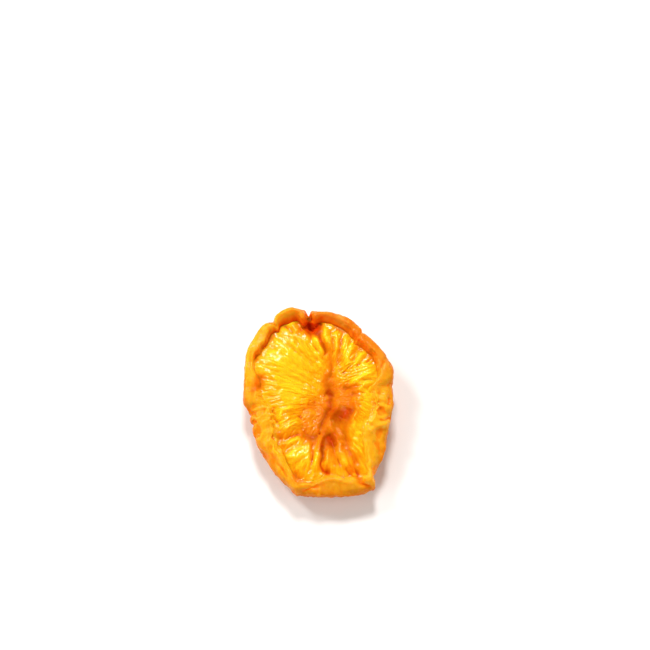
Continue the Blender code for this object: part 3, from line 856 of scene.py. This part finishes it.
    # Relief too fine for the mesh: the glaze, the skin's grain, and the fibres. For each, its
    # strength, how high it stands in millimetres, and its pattern.
    relief = {}
    for strength, high, pattern in ((flesh, 0.1, glaze), (0.5, 0.08, grain), (0.5, 0.1, fibres)):
        bump = add_node(
            tree,
            "ShaderNodeBump",
            {"Strength": strength, "Distance": high * MM, "Height": pattern, **relief},
        )
        relief = {"Normal": bump.outputs[0]}
    glaze_bump = add_node(
        tree, "ShaderNodeBump", {"Strength": 1.0, "Distance": 0.3 * MM, "Height": glaze, **relief}
    )
    surface = add_node(
        tree,
        "ShaderNodeBsdfPrincipled",
        {
            "Base Color": colour,
            "Roughness": roughness.outputs[0],
            "IOR": 1.45,
            "Specular IOR Level": 0.06,
            "Coat Weight": coat.outputs[0],
            "Coat IOR": 1.5,
            "Coat Roughness": 0.17,
            "Coat Normal": glaze_bump.outputs[0],
            "Subsurface Weight": 0.85,
            "Subsurface Radius": (1.0, 0.35, 0.08),
            "Subsurface Scale": 2.4 * MM,
            "Normal": bump.outputs[0],
        },
    )
    add_node(tree, "ShaderNodeOutputMaterial", {"Surface": surface.outputs[0]})
    return material


class FruitSettings(bpy.types.PropertyGroup):
    """Size, fineness and colours of the dried half."""

    width: FloatProperty(
        name="Width", description="Size from left to right", default=HIGH.x - LOW.x, unit="LENGTH"
    )
    length: FloatProperty(
        name="Length", description="Size up to the stem end", default=HIGH.y - LOW.y, unit="LENGTH"
    )
    height: FloatProperty(
        name="Height", description="Height of the rim's top", default=HIGH.z - LOW.z, unit="LENGTH"
    )
    segments: IntProperty(
        name="Segments",
        description="Columns of faces round the half",
        default=560,
        min=48,
        max=720,
    )
    rings: IntProperty(
        name="Rings",
        description="Rows of faces from the cut face to the base",
        default=176,
        min=32,
        max=240,
    )
    flesh: colour_setting("Flesh", "Golden flesh", "#F8A405")
    # Also painted highlight on the tops of fibres and ridges, beside the clear gold of the fields
    # by the scar
    flesh_light_and_highlight: colour_setting("Light flesh", "Tops of the fibres", "#FFC61A")
    # Also painted shade in the valleys between the pleats, beside deeper patches and the field
    # round the scar
    flesh_deep_and_shade: colour_setting("Deep flesh", "Flesh between the pleats", "#DC6E04")
    scar: colour_setting("Scar", "Flesh where the stone was", "#C46202")
    scar_deep: colour_setting("Deep scar", "Hollows of the scar", "#B44000")
    # Painted shade, red orange, of creases, hollows, the notch of the cleft and the foot of a
    # roll's wall
    crease_shade: colour_setting("Crease", "Depth of the creases", "#DE4A00")
    # Painted shade under the rolls and up their inner wall, and in the skin's notch and pockets
    tucked_shade: colour_setting("Tucked", "Where the flesh dives under the rim", "#E86E08")
    # Painted shade deep in the cavity at the stem end
    cavity_shade: colour_setting("Cavity", "Depth of the cavity at the stem end", "#C83200")
    skin_gold: colour_setting("Gold skin", "Skin of the collars", "#E8A91A")
    # Own red of the blushed side; on the outer wall it is partly painted shade
    skin_red: colour_setting("Red skin", "Skin of the blushed side and the wall", "#D0700C")
    skin_tan: colour_setting("Tan skin", "Dull patches of the skin", "#EAA838")
    # Painted shade in the folds and hollows of the skin
    skin_crease_shade: colour_setting("Skin crease", "Folds of the skin", "#F0840A")


class StageSettings(bpy.types.PropertyGroup):
    """Camera, floor and light round the fruit."""

    elevation: FloatProperty(
        name="Camera elevation",
        description="Angle of the camera above the floor",
        default=math.radians(68.0),
        subtype="ANGLE",
    )
    lens: FloatProperty(name="Lens", description="Focal length", default=90.0, unit="CAMERA")
    key: FloatProperty(
        name="Key light", description="Power of the lights behind", default=11.0, unit="POWER"
    )
    fill: FloatProperty(
        name="Fill light", description="Power of the lights in front", default=4.2, unit="POWER"
    )
    room: FloatProperty(name="Room light", description="Brightness of the room", default=0.28)
    floor: colour_setting("Floor", "Matt white paper", "#F1EEED")
    room_tint: colour_setting("Room tint", "Colour of the room's light, a warm white", "#FFF0DD")


class MESH_OT_nectarine_half(bpy.types.Operator):
    """Model the dried half, from a sphere of rings shaped to its section all the way round"""

    bl_idname = "mesh.nectarine_half"
    bl_label = "Dried Half"

    def execute(self, context):
        settings = context.scene.nectarine_fruit
        mesh = bmesh.new()
        bmesh.ops.create_uvsphere(
            mesh, u_segments=settings.segments, v_segments=settings.rings, radius=1.0
        )
        shape_half(mesh)
        settle(mesh, Vector((settings.width, settings.length, settings.height)))
        bmesh.ops.recalc_face_normals(mesh, faces=mesh.faces)
        data = bpy.data.meshes.new("dried_half")
        mesh.to_mesh(data)
        mesh.free()
        data.shade_smooth()
        data.materials.append(dried_fruit_material(settings))
        half = bpy.data.objects.new("dried_half", data)
        context.scene.collection.objects.link(half)
        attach(half, "root")
        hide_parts(CAD_NODE)
        return {"FINISHED"}


# Where the photograph shows the half: its middle, as pixels right and down of the frame's
# middle, and the millimetres that a pixel spans there
SHOWN_RIGHT = -6.5
SHOWN_DOWN = 78.0
FRAME_PIXELS = 650
PIXEL_MM = 48.0 / 151.0

FLOOR_SIZE = 1.5  # half its side, in metres
FLOOR_GAP_MM = 0.05  # below the half, so that the two don't share a plane

# Lights: the setting that gives the power and the share of it, the side of the square in
# metres, the place, and whether the glaze mirrors it. The two behind make the glints, and
# the wide ones in front only lighten the shadows.
LIGHTS = (
    ("back_softbox", "key", 0.52, 0.2, (0.0, 0.54, 0.7), True),
    ("back_left_softbox", "key", 0.3, 0.2, (-0.5, 0.4, 0.62), True),
    ("left_softbox", "fill", 1.1, 0.8, (-0.75, -0.35, 0.5), False),
    ("right_softbox", "fill", 0.9, 0.8, (0.8, -0.3, 0.45), False),
)


class SCENE_OT_nectarine_stage(bpy.types.Operator):
    """Lay a plain white floor, and set the soft lights and the camera"""

    bl_idname = "scene.nectarine_stage"
    bl_label = "Floor, Light and Camera"

    def execute(self, context):
        settings = context.scene.nectarine_stage
        scene = context.scene
        scene.view_settings.view_transform = "Standard"

        mesh = bmesh.new()
        bmesh.ops.create_grid(mesh, x_segments=1, y_segments=1, size=FLOOR_SIZE)
        bmesh.ops.translate(mesh, verts=mesh.verts, vec=(0, 0, -FLOOR_GAP_MM * MM))
        data = bpy.data.meshes.new("paper_floor")
        mesh.to_mesh(data)
        mesh.free()
        floor = bpy.data.objects.new("paper_floor", data)
        scene.collection.objects.link(floor)
        # Uncoated white paper, rolled smooth: even, bright and without any shine
        paper = bpy.data.materials.new("matt_white_paper")
        paper.use_nodes = True
        tree = paper.node_tree
        tree.nodes.clear()
        surface = add_node(
            tree,
            "ShaderNodeBsdfPrincipled",
            {"Base Color": settings.floor, "Roughness": 0.9, "IOR": 1.5},
        )
        add_node(tree, "ShaderNodeOutputMaterial", {"Surface": surface.outputs[0]})
        data.materials.append(paper)

        world = bpy.data.worlds.new("pale_room")
        world.use_nodes = True
        tree = world.node_tree
        tree.nodes.clear()
        glow = add_node(
            tree, "ShaderNodeBackground", {"Color": settings.room_tint, "Strength": settings.room}
        )
        add_node(tree, "ShaderNodeOutputWorld", {"Surface": glow.outputs[0]})
        world.cycles_visibility.glossy = False
        scene.world = world

        for name, power, share, size, place, mirrored in LIGHTS:
            light = bpy.data.lights.new(name, "AREA")
            light.energy = share * getattr(settings, power)
            light.size = size
            lamp = bpy.data.objects.new(name, light)
            lamp.location = place
            lamp.visible_glossy = mirrored
            lamp.rotation_euler = Vector(place).to_track_quat("Z", "Y").to_euler()
            scene.collection.objects.link(lamp)

        lens = bpy.data.cameras.new("photo_camera")
        lens.lens = settings.lens
        camera = bpy.data.objects.new("photo_camera", lens)
        distance = FRAME_PIXELS * PIXEL_MM * MM / lens.sensor_width * lens.lens
        camera.rotation_euler = (math.radians(90) - settings.elevation, 0.0, 0.0)
        turn = camera.rotation_euler.to_matrix()
        middle = (LOW + HIGH) / 2
        shift = Vector((-SHOWN_RIGHT * PIXEL_MM * MM, SHOWN_DOWN * PIXEL_MM * MM, distance))
        camera.location = middle + turn @ shift
        scene.collection.objects.link(camera)
        scene.camera = camera
        return {"FINISHED"}


class VIEW3D_PT_dried_nectarine(bpy.types.Panel):
    """The pieces of the dried half and its stage, with their settings"""

    bl_label = "Dried Nectarine"
    bl_space_type = "VIEW_3D"
    bl_region_type = "UI"
    bl_category = "Nectarine"

    def draw(self, context):
        for settings, operator in (
            (context.scene.nectarine_fruit, MESH_OT_nectarine_half),
            (context.scene.nectarine_stage, SCENE_OT_nectarine_stage),
        ):
            box = self.layout.box()
            for name in settings.__annotations__:
                box.prop(settings, name)
            box.operator(operator.bl_idname)


CLASSES = (
    FruitSettings,
    StageSettings,
    MESH_OT_nectarine_half,
    SCENE_OT_nectarine_stage,
    VIEW3D_PT_dried_nectarine,
)


def register():
    for made in CLASSES:
        bpy.utils.register_class(made)
    bpy.types.Scene.nectarine_fruit = PointerProperty(type=FruitSettings)
    bpy.types.Scene.nectarine_stage = PointerProperty(type=StageSettings)


def unregister():
    del bpy.types.Scene.nectarine_stage
    del bpy.types.Scene.nectarine_fruit
    for made in reversed(CLASSES):
        bpy.utils.unregister_class(made)


def main():
    register()
    bpy.ops.mesh.nectarine_half()
    bpy.ops.scene.nectarine_stage()


if __name__ == "__main__":
    main()
